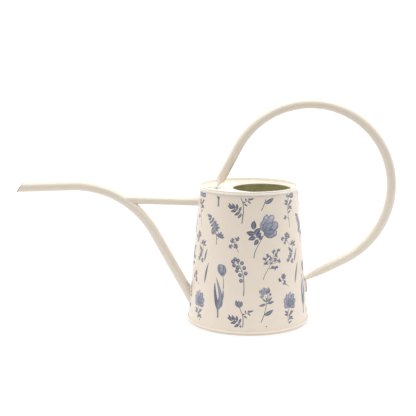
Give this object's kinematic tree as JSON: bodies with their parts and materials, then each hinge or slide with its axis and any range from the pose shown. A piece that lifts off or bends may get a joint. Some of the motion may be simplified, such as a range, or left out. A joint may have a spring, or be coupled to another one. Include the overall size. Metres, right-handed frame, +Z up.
{
  "type": "watering can",
  "caption": "Slim steel watering can with a tapered printed body, long bent spout on a straight brace and a large looped tube handle.",
  "frame": {"origin": "on the ground, on the body's axis, at the middle of the ring that the can stands on", "axes": "+Z up along the body's axis, -X towards the spout, +X towards the handle, +Y away from the front view"},
  "size_m": [0.399, 0.13, 0.2343],
  "materials": {
    "printed_enamel": "satin cream enamel with a grey-blue botanical print",
    "cream_enamel": "satin cream enamel",
    "tube_enamel": "satin cream enamel on bent tube",
    "seam_seal": "matt seam sealant"
  },
  "bodies": {
    "root": {"body_shell": "printed_enamel", "base_plate": "cream_enamel", "base_seal": "seam_seal", "top_plate": "cream_enamel", "spout_tube": "tube_enamel", "spout_weld": "cream_enamel", "brace_tube": "tube_enamel", "brace_spout_weld": "tube_enamel", "brace_body_weld": "cream_enamel", "handle_tube": "tube_enamel", "handle_upper_weld": "cream_enamel", "handle_lower_weld": "cream_enamel"}
  },
  "joints": []
}
